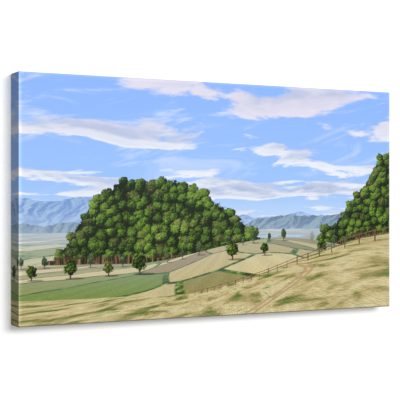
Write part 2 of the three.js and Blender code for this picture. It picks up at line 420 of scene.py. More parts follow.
def standing_trees(scene, x, y, foot_at, spacing, wide, tall, share, seed, haze):
    """A loose row of single trees. foot_at gives the ground's height below each one."""
    number = whole(x / spacing)
    luck = chance(number + seed)
    present = ramp(chance(number + seed + 0.71), share, share - 0.01)
    middle = (number + 0.5 + (luck - 0.5) * 0.45) * spacing
    size = between(0.7, 1.25, chance(number + seed + 0.37))
    foot = foot_at(middle)
    ragged = clouded(point(x / wide, y / wide), 2.3, 7, 0.75)
    across = (x - middle) / (size * wide)
    up = (y - foot) / (size * tall)
    # What the tree throws on the ground beside it
    fallen = (x - middle - size * wide * 0.55) / (size * wide * 1.3)
    ground = (y - foot) / (size * wide * 0.15)
    shadow = ramp(fallen * fallen + ground * ground + (ragged - 0.5) * 0.6, 1.0, 0.6)
    scene = lit(scene, 1 - shadow * present * 0.55)
    trunk = ramp(size_of(across + (ragged - 0.5) * 0.2), 0.13, 0.08)
    trunk = trunk * ramp(up, -0.05, 0.0) * ramp(up, 0.5, 0.4)
    scene = blend(trunk * present, scene, blend(ramp(across, -0.08, 0.08), EARTH, EARTH_DARK))
    spread = across * line(up, 0.2, 1.0, 1.0, 1.5)
    body = root(spread * spread + (up - 0.62) * (up - 0.62) * 6.0) + (ragged - 0.5) * 1.5
    side = ramp(across * SUN_SIDE[0] + (up - 0.6) * 0.9, -0.7, 0.7, 0.3, 1.1)
    colour = blend(haze, lit(leaves(x, y, wide * 0.4, seed)[0], side), AIR)
    return blend(ramp(body, 1.0, 0.95) * present, scene, colour)


def fields(x, below, wide, deep, seed):
    """Ploughed, mown and grassy fields on ground that runs away from the eye: their colour, each point's
    distance from a field's edge, and its place on the ground."""
    place = point(x * wide / below + seed, natural_log(below) * deep)
    _, tint, _ = cells(place, 1.0, 0.85)
    edge, _, _ = cells(place, 1.0, 0.85, "DISTANCE_TO_EDGE")
    crop, luck, _ = parts(tint)
    field_x, field_y, _ = parts(place)
    rows = sine(field_x * (crop * 14 + 18) + field_y * (luck * 10 - 5)) * 0.5 + 0.5
    colour = shades(
        crop, (0.0, STRAW), (0.3, STRAW_LIGHT), (0.5, GRASS_GREEN), (0.66, STRAW),
        (0.8, OLIVE), (1.0, EARTH_LIGHT),
    )
    return lit(colour, between(0.93, 1.03, rows) * between(0.9, 1.06, luck)), edge, place


def near_hill(scene, x, y, crest):
    """Dry grass that rises to the right, with a track worn into it."""
    below = crest - y + 0.05
    away = natural_log(below)
    patch = clouded(point(x * 0.5 / below, away * 2.0), 1.6, 5, 0.6, bend=0.3)
    turf = clouded(point(x * 1.3 / below, away * 6), 9, 5, 0.7)
    blades = clouded(point(x * 4.5 / below, away * 1.3), 9, 5, 0.75)
    near = ramp(below, 0.07, 0.2)
    light = (turf - 0.5) * between(1.0, 0.5, near) + (blades - 0.5) * between(0.35, 1.3, near)
    colour = shades(
        patch, (0.28, LEAF_MIDDLE), (0.38, OLIVE), (0.47, STRAW), (0.6, STRAW_LIGHT), (0.72, GRASS_GREEN),
    )
    colour = lit(colour, line(light, -0.3, 0.3, 0.5, 1.3))
    # The track: two ruts, with grass between
    middle = 0.36 + sine(away * 2.6 + 0.9) * 0.13 - ramp(below, 0.05, 0.4) * 0.55
    beside = size_of(x - middle) / below + (blades - 0.5) * 0.12
    rut = ramp(beside, 0.27, 0.22) * ramp(beside, 0.06, 0.1)
    colour = blend(rut * 0.85, colour, lit(EARTH_LIGHT, line(turf, 0.3, 0.7, 0.8, 1.25)))
    edge = ramp(size_of(beside - 0.27), 0.05, 0.0) * ramp(blades, 0.4, 0.6)
    colour = blend(edge * 0.7, colour, lit(OLIVE, 0.55 + (blades - 0.5)))
    return covered(scene, crest - y + (blades - 0.5) * 0.012, colour, 0.0012)


def fence(scene, x, y, foot, first, growth):
    """Weathered posts and rails that come nearer to the right and grow. first is a post's height at x = 0."""
    gap = 1.7
    tall = power_of_e(x * growth) * first
    count = power_of_e(x * -growth) * (1 / (gap * first * growth))
    number = whole(count)
    luck = chance(number)
    beside = size_of(part_of(count) - 0.5) * gap
    wobble = (chance(number + 0.5) - 0.5) * 0.1
    up = (y - foot) / tall
    post = ramp(beside + wobble * up, 0.075, 0.06)
    post = post * ramp(up, -0.08, -0.04) * ramp(up + luck * 0.12, 1.08, 1.05)
    bend = sine(count * (2 * math.pi)) * 0.02
    high = ramp(size_of(up - 0.86 + bend), 0.055, 0.04)
    low = ramp(size_of(up - 0.46 - bend), 0.055, 0.04)
    wood = smaller(post + high + low, 1.0) * ramp(x, -0.16, -0.12)
    grain = clouded(point(x / 0.02, y / 0.004), 3, 4, 0.6)
    colour = shades(grain, (0.3, EARTH_DARK), (0.5, EARTH), (0.75, RAIL_PALE))
    return blend(wood, scene, lit(colour, 0.9 - post * 0.15))


def painted_landscape(x, y):
    scene = painted_sky(x, y)
    crest = 0.40 + wandering(x + 4.2, 2.1, 9, 0.52) * 0.15 + ramp(x, -0.9, 0.2, 0.03, -0.05)
    scene = mountains(
        scene, x, y, crest, spurs=9, slopes=14, dark=FAR_BLUE, light=FAR_BLUE_LIT, haze=0.75, foot=HORIZON,
    )
    crest = 0.335 + wandering(x + 8.6, 2.6, 9) * 0.13 + ramp(x, -0.5, 0.8, 0.0, 0.035)
    scene = mountains(
        scene, x, y, crest, spurs=11, slopes=16, dark=NEAR_BLUE, light=NEAR_BLUE_LIT, haze=0.5,
        foot=HORIZON - 0.02,
    )

    # The far plain, with its fields, hedges and lake
    crest = 0.352 + wandering(x + 2.3, 1.7, 4) * 0.03
    below = crest - y + 0.014
    colour, edge, place = fields(x, below, wide=0.32, deep=2.2, seed=5.2)
    trees = clouded(place, 7, 4, 0.65)
    hedge = ramp(edge, 0.1, 0.04) * ramp(trees, 0.36, 0.5) + ramp(trees, 0.63, 0.68)
    colour = blend(smaller(hedge, 1.0), colour, lit(LEAF_MIDDLE, ramp(trees, 0.4, 0.7, 1.2, 0.45)))
    shore = uneven(x + 5.5, 7, 4, 0.02, 0.6)
    water = ramp(size_of(y - 0.338 + shore * 0.4) - shore, 0.0045, 0.0035) * ramp(size_of(x - 0.1), 0.34, 0.3)
    colour = blend(water, colour, WATER)
    colour = blend(ramp(below, 0.014, 0.1, 0.6, 0.2), colour, AIR)
    scene = covered(scene, crest - y, colour)

    # A wooded knoll on the left and a wooded slope on the right
    def knoll(at):
        rise = ramp(at, 0.4, -0.26, 0.0, 0.31) - ramp(at, -0.42, -0.98, 0.0, 0.48)
        return 0.28 + rise + uneven(at + 3.4, 3.1, 3, 0.12)

    def slope(at):
        return 0.2 + ramp(at, 0.25, 1.05, 0.0, 0.58) + uneven(at + 7.7, 4.0, 3, 0.12)

    slope_foot = 0.27 + ramp(x, 0.4, 0.9, 0.0, 0.05)
    scene = wooded_slope(scene, x, y, knoll, foot=0.24, size=0.04, seed=17.0, haze=0.012)
    scene = wooded_slope(scene, x, y, slope, slope_foot, size=0.036, seed=29.0, haze=0.01)

    # A rolling field in the middle
    def field_crest(at):
        rise = ramp(size_of(at - 0.32), 0.75, 0.0, 0.0, 0.095)
        return 0.235 + rise + uneven(at + 1.1, 1.4, 2, 0.03)

    crest = field_crest(x)
    below = crest - y + 0.03
    colour, edge, place = fields(x, below, wide=0.3, deep=1.3, seed=11.7)
    grass = clouded(place, 40, 4, 0.6)
    colour = lit(colour, line(grass, 0.3, 0.7, 0.8, 1.14))
    trees = clouded(place, 9, 4, 0.65)
    hedge = ramp(edge, 0.05, 0.025) * ramp(trees, 0.3, 0.42)
    colour = blend(hedge, colour, lit(LEAF_MIDDLE, ramp(trees, 0.35, 0.65, 1.2, 0.3)))
    colour = blend(ramp(below, 0.03, 0.2, 0.14, 0.0), colour, AIR)
    scene = covered(scene, crest - y, colour)

    def far_row(at):
        return field_crest(at) - 0.012

    def near_row(at):
        return field_crest(at) * 0.5 + 0.085 + at * 0.03

    scene = standing_trees(
        scene, x, y, far_row, spacing=0.07, wide=0.016, tall=0.05, share=0.62, seed=31.0, haze=0.03,
    )
    scene = standing_trees(
        scene, x, y, near_row, spacing=0.15, wide=0.036, tall=0.075, share=0.6, seed=52.0, haze=0.0,
    )

    # A near hill of dry grass on the right, with a fence along it
    crest = 0.10 + ramp(x, -0.25, 0.95, 0.0, 0.24) + uneven(x + 6.1, 1.9, 3, 0.02)
    scene = near_hill(scene, x, y, crest)
    return fence(scene, x, y, foot=crest - 0.012 - x * 0.012, first=0.02, growth=1.25)


# The printed cloth

FLAT_MAP = "flat_cloth"
BAKE_MAP = "OFBake"
CLOTH = 0.5 * MM
FOLD = 2 * MM
TURNOVER = 17 * MM
# How far past the face's edge the print runs
PRINTED_TO = DEPTH + 1.5 * MM
THREAD_PITCH = 0.62 * MM
THREAD_SWAY = 0.16 * MM
FOLD_RUN = math.pi * FOLD / 2
SIDE_RUN = DEPTH - 2 * FOLD
INNER_WIDTH = WIDTH - 2 * FOLD
INNER_HEIGHT = HEIGHT - 2 * FOLD
WHOLE_RUN = 2 * FOLD_RUN + SIDE_RUN + TURNOVER - FOLD
FLAT_WIDTH = INNER_WIDTH + 2 * WHOLE_RUN
FLAT_HEIGHT = INNER_HEIGHT + 2 * WHOLE_RUN


def sheet_place(shader):
    """Where each point lies on the cloth laid flat, in metres from the middle of the face."""
    return parts(step("ShaderNodeUVMap", {}, tree=shader.id_data, uv_map=FLAT_MAP))[:2]


def mirrored(place, half):
    """The print runs on round the edges as its own mirror image."""
    return sign_of(place) * (half - size_of(half - size_of(place))) / HEIGHT


def weave(across, up):
    """Plain weave seen from 0, between the threads, to 1, on top of one."""
    slub = clouded(point(across * 260, up * 40), 1, 2, 0.5) * THREAD_SWAY
    pick = clouded(point(across * 40, up * 260), 1, 2, 0.5) * THREAD_SWAY
    warp = sine((across + slub) * (math.pi / THREAD_PITCH))
    weft = sine((up + pick) * (math.pi / THREAD_PITCH))
    return held(root(size_of(warp * weft)) * 0.5 + larger(size_of(warp), size_of(weft)) * 0.5)


def worn_print_and_painted_light(colour, across, up):
    """Ink that is worn thin and paler on the folds, with painted light: a painted highlight on and beside the
    folds and painted shade in their creases.
    """
    from_left = across + WIDTH / 2
    from_foot = up + HEIGHT / 2
    past_ends = size_of(up) - HEIGHT / 2
    past = larger(size_of(across) - WIDTH / 2, past_ends)
    grain = clouded(point(across, up), 900, 3, 0.6)
    # The folds turn paler: partly worn ink and partly a painted highlight along the edges
    fold_wear_and_highlight = ramp(size_of(past + 0.7 * MM), 1.8 * MM, 0.4 * MM) * ramp(grain, 0.3, 0.7, 0.5, 1.0)
    colour = blend(fold_wear_and_highlight * 0.2, colour, rgb(236, 238, 240))
    # A painted highlight beside the folds, strongest beside the left one
    beside = ramp(size_of(past + 0.5 * MM), 7 * MM, 0.5 * MM) * ramp(past, 1.4 * MM, 0.4 * MM)
    colour = lit(colour, 1 + beside * line(from_left, 8.1 * MM, 10 * MM, 0.28, 0.08))
    # Painted shade in the creases: the back folds and the lower fold are darkest, the side folds less so, and
    # the upper fold isn't darkened at all
    painted_crease_shade = ramp(past, -0.9 * MM, 0.1 * MM) * ramp(past, 2.6 * MM, 1.3 * MM)
    painted_side_fold_shade = painted_crease_shade * ramp(past_ends, 0.4 * MM, -0.4 * MM)
    painted_low_fold_shade = ramp(from_foot, 2.2 * MM, 1.2 * MM) * ramp(from_foot, -3.4 * MM, -1.6 * MM)
    colour = lit(colour, between(1.0, 0.62, painted_side_fold_shade) * between(1.0, 0.4, painted_low_fold_shade))
    # Painted shade on the back folds
    colour = lit(colour, ramp(past, 34.6 * MM, 36.2 * MM, 1.0, 0.52))
    return blend(ramp(past, PRINTED_TO, PRINTED_TO + 0.3 * MM), colour, rgb(240, 238, 232))


def printed_surface():
    material, shader = new_material("printed_canvas")
    across, up = sheet_place(shader)
    colour = painted_landscape(mirrored(across, WIDTH / 2), mirrored(up, HEIGHT / 2) + 0.5)
    colour = worn_print_and_painted_light(colour, across, up)
    thread = weave(across, up)
    # The colour is a little lighter on the threads and darker between them: painted light and shade of the
    # weave
    fill(shader, {
        "Base Color": lit(colour, between(0.955, 1.02, thread)),
        "Roughness": between(0.72, 0.58, thread),
        "Specular IOR Level": 0.12,
    })
    relief(shader, thread, 0.08 * MM, 0.5)
    return material


def bare_surface():
    material, shader = new_material("bare_canvas")
    across, up = sheet_place(shader)
    thread = weave(across, up)
    blot = clouded(point(across, up), 9, 5, 0.6)
    fleck = clouded(point(across, up), 420, 2, 0.5)
    colour = blend(ramp(blot, 0.3, 0.7), rgb(225, 219, 204), rgb(218, 211, 195))
    colour = blend(ramp(fleck, 0.7, 0.8) * 0.5, colour, rgb(160, 140, 105))
    # The colour is darker between the threads: painted shade in the hollows of the weave
    fill(shader, {
        "Base Color": lit(colour, between(0.72, 1.0, thread)),
        "Roughness": 0.92,
        "Specular IOR Level": 0.15,
    })
    relief(shader, thread, 0.18 * MM)
    return material


STAPLE_INSET = 9 * MM
STAPLE_SPACING = 57 * MM
STAPLE_LEAN = math.radians(5)
STAPLE_FREE_END = 30 * MM
HANGER_ROOM = 36 * MM
BOTTOM, RIGHT, TOP, LEFT = range(4)


def turned(along, out, side):
    """A point on one side of the picture, along it and out from the middle."""
    x, z = along, -out
    for _ in range(side):
        x, z = -z, x
    return x, z


def staple_places():
    """Each staple's middle on the back, and the way its crown lies."""
    rng = np.random.default_rng(7)
    places = []
    for side, (long, short) in enumerate([(WIDTH, HEIGHT), (HEIGHT, WIDTH)] * 2):
        usable = long - 2 * STAPLE_FREE_END
        count = round(usable / STAPLE_SPACING) + 1
        for i in range(count):
            along = (i / (count - 1) - 0.5) * usable + rng.uniform(-3, 3) * MM
            inset = STAPLE_INSET + rng.uniform(-1.2, 1.2) * MM
            if side == TOP and abs(along) < HANGER_ROOM:
                continue
            spot = turned(along, short / 2 - inset, side)
            places.append((spot, side * math.pi / 2 + rng.uniform(-1, 1) * STAPLE_LEAN))
    return places


STAPLES = staple_places()


# The canvas: its face, then rows of points once round it, from the face's edge to the cut edge at the back

FACE_STEPS = (0.5 * MM, 7 * MM, 1.25)
SIDE_STEPS = (1.2 * MM, 2.6 * MM)
BACK_STEPS = (1.0 * MM, 1.9 * MM)
FOLD_STEPS = 5
CORNER_STEPS = 3
SAG = 0.35 * MM
# How far the cloth stands off a plain wrap, or lies in a groove
UNEVENNESS = 0.12 * MM
PLEAT = 0.45 * MM
PLEAT_GROOVE = 0.5 * MM
CORNER_FOLD = 0.9 * MM
MITRE_GROOVE = 0.9 * MM
RIPPLE = 0.8 * MM
EDGE_CURL = 0.6 * MM


def graded(length, fine, coarse, growth=1.35):
    """Distances from 0 to length, in steps that grow from fine at both ends to coarse in between."""
    half = [0.0]
    step = fine
    while half[-1] < length / 2:
        half.append(half[-1] + step)
        step = min(step * growth, coarse)
    half = np.array(half) * (length / 2 / half[-1])
    return np.concatenate([half, (length - half[:-1])[::-1]])


def cloth_profile():
    """Rows from the face's edge to the cut edge: how far out from the fold's start, how deep, how far along
    the cloth, and the angle that the cloth faces."""
    rows = []
    quarter = [i / FOLD_STEPS * math.pi / 2 for i in range(1, FOLD_STEPS + 1)]
    for turn in quarter:
        rows.append((FOLD * math.sin(turn), FOLD - FOLD * math.cos(turn), FOLD * turn, turn))
    for reach in graded(SIDE_RUN, *SIDE_STEPS)[1:]:
        rows.append((FOLD, FOLD + reach, FOLD_RUN + reach, math.pi / 2))
    for turn in quarter:
        deep = DEPTH - FOLD + FOLD * math.sin(turn)
        rows.append((FOLD * math.cos(turn), deep, FOLD_RUN + SIDE_RUN + FOLD * turn, math.pi / 2 + turn))
    for reach in graded(TURNOVER - FOLD, *BACK_STEPS)[1:]:
        rows.append((-reach, DEPTH, 2 * FOLD_RUN + SIDE_RUN + reach, math.pi))
    return rows


def smooth(value, low, high):
    share = np.clip((value - low) / (high - low), 0, 1)
    return share * share * (3 - 2 * share)


def wobble(*place):
    return noise.noise(Vector(place))


def cloth_lift(side, along, out, run, span, steps_in):
    """How far the cloth stands off a plain wrap, outwards from it."""
    corner = abs(span - abs(along))
    lift = UNEVENNESS * wobble(along * 38, run * 60, side * 9.1)
    if side in (BOTTOM, TOP):
        # The corner's spare cloth is pleated and tucked under the long sides
        tucked = smooth(run - corner, -1.5 * MM, 3.0 * MM) * (1 - smooth(corner, 30 * MM, 38 * MM))
        lift += PLEAT * tucked * smooth(run, 1 * MM, 6 * MM)
        if steps_in == CORNER_STEPS and run > FOLD_RUN:
            lift -= PLEAT_GROOVE
    back_run = run - (2 * FOLD_RUN + SIDE_RUN)
    if back_run > 0:
        # The folded corners, the ripples between the staples and the curling cut edge
        x, z = turned(along, out, side)
        mitre = abs((WIDTH / 2 - abs(x)) - (HEIGHT / 2 - abs(z))) / math.sqrt(2)
        lift += CORNER_FOLD * math.exp(-((mitre / (9 * MM)) ** 2)) * smooth(back_run, 0, 4 * MM)
        if steps_in == 0:
            lift -= MITRE_GROOVE
        near = min(math.hypot(x - staple_x, z - staple_z) for (staple_x, staple_z), _ in STAPLES)
        ripple = 0.7 + 0.6 * wobble(along * 75, 1.3, side * 6.1)
        lift += RIPPLE * ripple * smooth(near, 4 * MM, 18 * MM) * smooth(back_run, 0, 6 * MM)
        curl = 0.7 + wobble(along * 55, 3.7, side * 5.3)
        lift += EDGE_CURL * smooth(back_run, 9 * MM, 15 * MM) * curl
    return lift


def wrapped(side, along, place_in_row, level_out, deep, run, facing):
    """A point of the wrap, on the row that the last four values give."""
    i, count, span = place_in_row
    steps_in = min(i, count - i)
    fold_start = (HEIGHT if side in (BOTTOM, TOP) else WIDTH) / 2 - FOLD
    out = level_out
    if level_out < 0:
        # The cut edge wanders
        out = level_out * (1 + 0.075 * wobble(along * 21, side * 4.7, 8.2))
        along = along * (span + out) / span
    elif steps_in <= CORNER_STEPS:
        # The row is drawn round the corner, so the points near its end fan out
        way = -1 if i * 2 < count else 1
        swing = math.pi / 4 * (1 - steps_in / CORNER_STEPS)
        along = way * (span + out * math.sin(swing)) + (along - way * span) * (1 - out / FOLD)
        out = out * math.cos(swing)
    lift = cloth_lift(side, along, fold_start + out, run, span, steps_in)
    x, z = turned(along, fold_start + out + lift * math.sin(facing), side)
    return x, deep - lift * math.cos(facing), z


def flat_spot(place, side, run):
    """Where a point of the wrap lies on the cloth laid flat."""
    x, _, z = place
    if side == BOTTOM:
        return x, -(INNER_HEIGHT / 2 + run)
    if side == TOP:
        return x, INNER_HEIGHT / 2 + run
    return (INNER_WIDTH / 2 + run) * (1 if side == RIGHT else -1), z


def canvas_mesh():
    """The outer skin's points and faces, its faces laid flat, and the points of its cut edge in order."""
    xs = graded(INNER_WIDTH, *FACE_STEPS) - INNER_WIDTH / 2
    zs = graded(INNER_HEIGHT, *FACE_STEPS) - INNER_HEIGHT / 2
    points = []
    for z in zs:
        for x in xs:
            sag = SAG * (1 - (2 * x / INNER_WIDTH) ** 4) * (1 - (2 * z / INNER_HEIGHT) ** 4)
            points.append((x, sag, z))
    number = np.arange(len(points)).reshape(len(zs), len(xs))
    faces = []
    for j in range(len(zs) - 1):
        for i in range(len(xs) - 1):
            faces.append([number[j, i], number[j, i + 1], number[j + 1, i + 1], number[j + 1, i]])
    laid_flat = [[(points[k][0], points[k][2]) for k in face] for face in faces]
    around = []
    for side, steps in enumerate([xs, zs, xs, zs]):
        count = len(steps) - 1
        for i in range(count):
            around.append((side, steps[i], (i, count, steps[-1])))
    before = [*number[0, :-1], *number[:-1, -1], *number[-1, :0:-1], *number[:0:-1, 0]]
    run_before = 0.0
    for row in cloth_profile():
        run = row[2]
        here = [len(points) + n for n in range(len(around))]
        points += [wrapped(*spot, *row) for spot in around]
        for n, (side, _, _) in enumerate(around):
            m = (n + 1) % len(around)
            corners = [(before[n], run_before), (here[n], run), (here[m], run), (before[m], run_before)]
            faces.append([k for k, _ in corners])
            laid_flat.append([flat_spot(points[k], side, reach) for k, reach in corners])
        before = here
        run_before = run
    return points, faces, laid_flat, before


OUTER, INNER, RIM = range(3)
# The rows of the baked picture that each kind of face is laid on
BAKE_ROWS = {OUTER: (0.004, 0.735), INNER: (0.745, 0.98), RIM: (0.988, 0.998)}


def bake_spots(laid_flat, kinds):
    """A place of its own for every face, from 0 to 1 both ways."""
    spots = []
    rim_total = kinds.count(RIM)
    rim_seen = 0
    for face, kind in zip(laid_flat, kinds):
        low, high = BAKE_ROWS[kind]
        if kind == RIM:
            left, right = rim_seen / rim_total, (rim_seen + 1) / rim_total
            spots += [(left, low), (left, high), (right, high), (right, low)]
            rim_seen += 1
            continue
        for across, up in face:
            column = 0.002 + 0.996 * (across / FLAT_WIDTH + 0.5)
            row = low + (high - low) * (up / FLAT_HEIGHT + 0.5)
            spots.append((column, row))
    return spots


def canvas_piece():
    """The finished canvas, and the points of its cut edge."""
    points, faces, laid_flat, rim = canvas_mesh()
    outer = new_mesh("canvas_outer", [(x, y + FRONT, z + MIDDLE) for x, y, z in points], faces)
    outer.update()
    normals = np.array([normal.vector for normal in outer.vertex_normals])
    places = np.array([vertex.co for vertex in outer.vertices])
    bpy.data.meshes.remove(outer)
    count = len(places)
    kinds = [OUTER] * len(faces) + [INNER] * len(faces) + [RIM] * len(rim)
    faces += [[k + count for k in reversed(face)] for face in faces]
    laid_flat += [spots[::-1] for spots in laid_flat]
    for n, start in enumerate(rim):
        end = rim[(n + 1) % len(rim)]
        faces.append([start, start + count, end + count, end])
        laid_flat.append([(places[k][0], places[k][2] - MIDDLE) for k in (start, start, end, end)])
    mesh = new_mesh("stretched_canvas", [*places, *(places - normals * CLOTH)], faces)
    mesh.materials.append(printed_surface())
    mesh.materials.append(bare_surface())
    mesh.polygons.foreach_set("material_index", [0 if kind == OUTER else 1 for kind in kinds])
    shade_smooth(mesh)
    flat_map = mesh.uv_layers.new(name=FLAT_MAP)
    flat_map.data.foreach_set("uv", [value for spots in laid_flat for spot in spots for value in spot])
    flat_map.active_render = True
    bake_map = mesh.uv_layers.new(name=BAKE_MAP)
    bake_map.data.foreach_set("uv", [value for spot in bake_spots(laid_flat, kinds) for value in spot])
    mesh.update()
    return new_object("stretched_canvas", mesh), [Vector(places[n]) for n in rim]


canvas, cut_edge = canvas_piece()
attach(canvas, "root")
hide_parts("canvas")


# Wood and metal

PINE_LIGHT = rgb(232, 206, 164)
PINE_MIDDLE = rgb(219, 186, 138)
PINE_LATE = rgb(192, 146, 96)
PINE_TINT = rgb(250, 240, 225)
KEY_TINT = rgb(238, 220, 196)
GLUE = rgb(122, 84, 50)
KNOT = rgb(104, 62, 34)
FINGER_PITCH = 4.2 * MM
FINGER_LENGTH = 9 * MM


def wood_surface(name, axis, segment, ring, contrast, tint):
    """Sawn softwood whose grain runs along one axis, finger-jointed every so often where segment isn't 0."""
    material, shader = new_material(name)
    x, deep, z = parts(own_place(shader))
    if axis == "x":
        along, wide = x, z
        side = sign_of(wide + HEIGHT / 2)
    else:
        along, wide = z, x
        side = sign_of(wide)
    if segment:
        tooth = size_of(part_of(wide / FINGER_PITCH) - 0.5) * FINGER_LENGTH
        place = (along + tooth) / segment + side * 0.31 + 20
        number = whole(place)
        joint = ramp(size_of(part_of(place + 0.5) - 0.5) * segment, 0.28 * MM, 0.1 * MM)
    else:
        number = whole(along * 40 + wide * 9 + side * 3)
    luck = chance(number + side * 7.3)
    other = chance(number + side * 7.3 + 0.41)
    # A knot now and then, that the rings part around
    knot_place = point(along / 0.11, wide / 0.045 + luck * 5, deep / 0.05)
    knot_far, knot_tint, _ = cells(knot_place, 1.0, 0.8, space="3D")
    knot_luck, _, _ = parts(knot_tint)
    rare = ramp(knot_luck, 0.7, 0.72)
    pull = ramp(knot_far, 0.34, 0.06) * rare
    drift = clouded(point(along * 3.2 + luck * 9, wide * 22, deep * 22), 1, 3, 0.5, space="3D") - 0.5
    # How far each point lies from the middle of the tree that the piece was sawn from
    pith_wide = wide - side * (luck - 0.2) * 60 * MM + drift * 7 * MM
    pith_deep = deep - (other - 0.5) * 50 * MM + drift * 4 * MM
    radius = root(pith_wide * pith_wide + pith_deep * pith_deep) + pull * 7 * MM
    rings = part_of(radius / ring + (luck - 0.5) * 0.6)
    late = ramp(rings, 0.35, 0.93) * ramp(rings, 1.0, 0.95)
    fibre = clouded(point(along * 24, wide * 1500, deep * 1500), 1, 4, 0.65, space="3D")
    colour = blend(late * contrast, blend(fibre, PINE_LIGHT, PINE_MIDDLE), PINE_LATE)
    colour = lit(colour, between(0.88, 1.06, luck) * line(fibre, 0.25, 0.75, 0.93, 1.06))
    colour = blend(0.35, colour, tint, "MULTIPLY")
    eye = ramp(knot_far, 0.13, 0.08) * rare
    eye_rings = sine(knot_far * 240) * 0.12
    colour = blend(held(eye * 0.9 + eye_rings * eye), colour, KNOT)
    colour = blend(ramp(size_of(knot_far - 0.12), 0.03, 0.0) * rare * 0.6, colour, lit_once(KNOT, 0.5))
    # Saw marks across the grain, and handling marks
    saw = sine(along * 2600 + drift * 30) * 0.5 + 0.5
    smudge = clouded(point(x * 12, deep * 12, z * 12), 1, 4, 0.6, space="3D")
    height = fibre * 0.5 + saw * 0.1
    if segment:
        colour = blend(joint * 0.65, colour, GLUE)
        height = height - joint * 0.6
    fill(shader, {
        "Base Color": lit(colour, line(smudge, 0.25, 0.7, 0.9, 1.03)),
        "Roughness": between(0.68, 0.5, late),
        "Specular IOR Level": 0.3,
    })
    relief(shader, height, 0.05 * MM, 0.5)
    return material


def zinc_surface():
    material, shader = new_material("zinc_steel")
    place = own_place(shader)
    x, y, z = parts(place)
    brushed = clouded(point(x * 60, y * 2600, z * 2600), 1, 5, 0.7, space="3D")
    cloudy = clouded(place, 260, 4, 0.6, space="3D")
    _, tint, _ = cells(place, 900, 1.0, space="3D")
    luck, _, _ = parts(tint)
    dull = ramp(cloudy, 0.42, 0.68)
    colour = blend(dull, rgb(205, 208, 212), rgb(158, 162, 168))
    fill(shader, {
        "Base Color": lit(colour, between(0.93, 1.05, luck) * line(brushed, 0.3, 0.7, 0.9, 1.06)),
        "Metallic": 1.0,
        "Roughness": between(0.26, 0.46, dull) + (brushed - 0.5) * 0.2,
    })
    relief(shader, brushed, 0.02 * MM, 0.5)
    return material


def pad_surface():
    material, shader = new_material("pale_rubber")
    place = own_place(shader)
    mottle = clouded(place, 700, 4, 0.6, space="3D")
    dust = clouded(place, 2600, 2, 0.5, space="3D")
    colour = blend(ramp(mottle, 0.35, 0.7), rgb(224, 224, 220), rgb(213, 213, 208))
    fill(shader, {
        "Base Color": blend(ramp(dust, 0.66, 0.76) * 0.4, colour, rgb(150, 145, 135)),
        "Roughness": line(mottle, 0.3, 0.7, 0.42, 0.6),
    })
    relief(shader, mottle, 0.03 * MM, 0.5)
    return material


# Bars, wedges and fittings

EASED_FROM = math.radians(25)
SHARP_FROM = math.radians(38)


def dress(node, prefix, mesh, material):
    """Puts a finished piece in place of a node of the frame, shaded smooth but for its sharp edges."""
    mesh.name = prefix + node
    mesh.materials.append(material)
    shade_smooth(mesh)
    mesh.set_sharp_from_angle(angle=SHARP_FROM)
    mesh.update()
    piece = new_object(mesh.name, mesh)
    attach(piece, "root")
    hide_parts(node)


def eased(node, ease):
    """A copy of a frame part with its triangles joined up and its sharp edges rounded."""
    source = bpy.data.objects[node].data
    triangles = [tuple(face.vertices) for face in source.polygons]
    mesh = new_mesh(node, [vertex.co for vertex in source.vertices], triangles)
    shape = bmesh.new()
    shape.from_mesh(mesh)
    bmesh.ops.remove_doubles(shape, verts=shape.verts, dist=0.002 * MM)
    bmesh.ops.dissolve_limit(
        shape, angle_limit=math.radians(0.5), verts=shape.verts, edges=shape.edges,
    )
    sharp = [edge for edge in shape.edges if edge.is_manifold and edge.calc_face_angle() > EASED_FROM]
    bmesh.ops.bevel(
        shape, geom=sharp, offset=ease, segments=2, profile=0.5, affect="EDGES", clamp_overlap=True,
    )
    shape.to_mesh(mesh)
    shape.free()
    return mesh


def turned_mesh(profile, centre, sides):
    """A round shape about a line along Y through the centre. Its profile is (radius, y), from the wall on."""
    points, faces, rings = [], [], []
    for radius, y in profile:
        if radius == 0:
            rings.append([len(points)] * sides)
            points.append((centre[0], y, centre[1]))
            continue
        rings.append([len(points) + i for i in range(sides)])
        for i in range(sides):
            angle = 2 * math.pi * i / sides
            points.append((centre[0] + radius * math.cos(angle), y, centre[1] + radius * math.sin(angle)))
    for before, after in zip(rings, rings[1:]):
        for i in range(sides):
            j = (i + 1) % sides
            face = [before[i], after[i], after[j], before[j]]
            faces.append([corner for n, corner in enumerate(face) if corner != face[n - 1]])
    return new_mesh("turned", points, faces)


def rounded(profile, radius, steps):
    """The same profile with its corners rounded off."""
    smooth_line = [profile[0]]
    for before, corner, after in zip(profile, profile[1:], profile[2:]):
        corner_at = Vector(corner)
        to_before = Vector(before) - corner_at
        to_after = Vector(after) - corner_at
        reach = min(radius, to_before.length * 0.45, to_after.length * 0.45)
        start = corner_at + to_before.normalized() * reach
        end = corner_at + to_after.normalized() * reach
        for n in range(steps + 1):
            t = n / steps
            smooth_line.append(tuple(start * (1 - t) ** 2 + corner_at * (2 * t * (1 - t)) + end * t ** 2))
    return [*smooth_line, profile[-1]]


pine_across = wood_surface("pine_across", "x", segment=0.24, ring=2.6 * MM, contrast=0.75, tint=PINE_TINT)
pine_upright = wood_surface("pine_upright", "z", segment=0.21, ring=2.3 * MM, contrast=0.75, tint=PINE_TINT)
for side in ("bottom", "right", "top", "left"):
    node = "bar_" + side
    material = pine_across if side in ("bottom", "top") else pine_upright
    dress(node, "pine_", eased(node, 0.45 * MM), material)

key_across = wood_surface("key_across", "x", segment=0, ring=0.7 * MM, contrast=0.2, tint=KEY_TINT)
key_upright = wood_surface("key_upright", "z", segment=0, ring=0.7 * MM, contrast=0.2, tint=KEY_TINT)
for side in ("bottom", "right", "top", "left"):
    for turn in ("first", "second"):
        node = f"key_{side}_{turn}"
        material = key_across if side in ("bottom", "top") else key_upright
        dress(node, "wooden_", eased(node, 0.3 * MM), material)

zinc = zinc_surface()
dress("hanger", "saw_tooth_", eased("hanger", 0.12 * MM), zinc)

